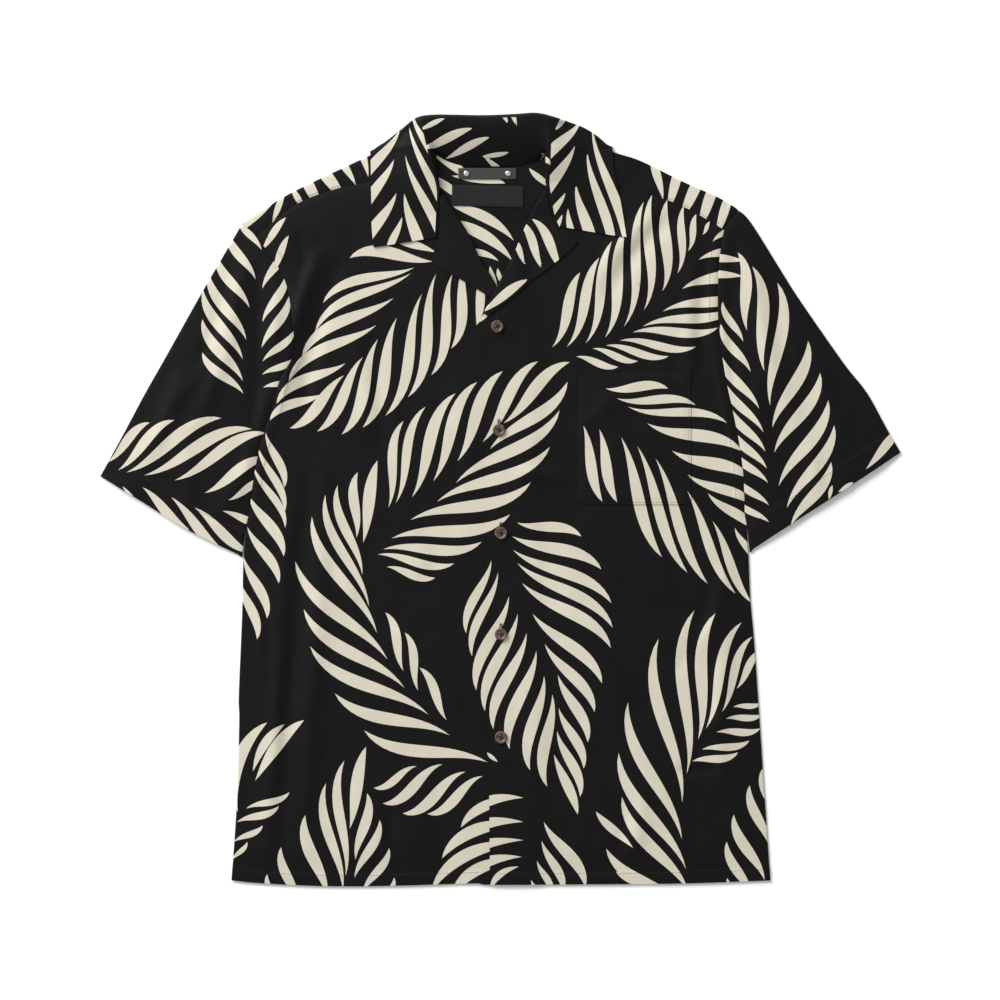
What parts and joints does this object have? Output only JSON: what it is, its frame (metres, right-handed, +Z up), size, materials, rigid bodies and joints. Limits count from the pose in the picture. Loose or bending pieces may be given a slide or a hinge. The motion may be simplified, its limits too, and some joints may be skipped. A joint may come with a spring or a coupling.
{
  "type": "short-sleeved camp-collar shirt laid flat",
  "caption": "Hawaiian shirt laid flat face up: boxy body, short sleeves, open camp collar with lapels, chest pocket and a palm-frond print.",
  "frame": {"origin": "on the surface that the shirt lies on, under the middle of its bounding box", "axes": "+Z up out of the shirt's front, +X towards the wearer's left sleeve, +Y towards the collar"},
  "size_m": [0.8402, 0.8104, 0.0189],
  "materials": {
    "shirt_cloth": "smooth light woven rayon, black ground with a cream palm-frond print, soft drape and a faint sheen",
    "button_shell": "dark brown coconut shell, satin, mottled",
    "label_cloth": "dense black woven tape, bare",
    "tab_leather": "dark grey matt leather strip, bare",
    "rivet_metal": "small bright domed rivet"
  },
  "bodies": {
    "root": {"back": "shirt_cloth", "yoke": "shirt_cloth", "front_right": "shirt_cloth", "front_left": "shirt_cloth", "sleeve_right": "shirt_cloth", "sleeve_left": "shirt_cloth", "collar": "shirt_cloth", "lapel_right": "shirt_cloth", "lapel_left": "shirt_cloth", "pocket": "shirt_cloth", "label": "label_cloth", "tab": "tab_leather", "rivet_right": "rivet_metal", "rivet_left": "rivet_metal", "button_1": "button_shell", "button_2": "button_shell", "button_3": "button_shell", "button_4": "button_shell", "button_5": "button_shell"}
  },
  "joints": []
}
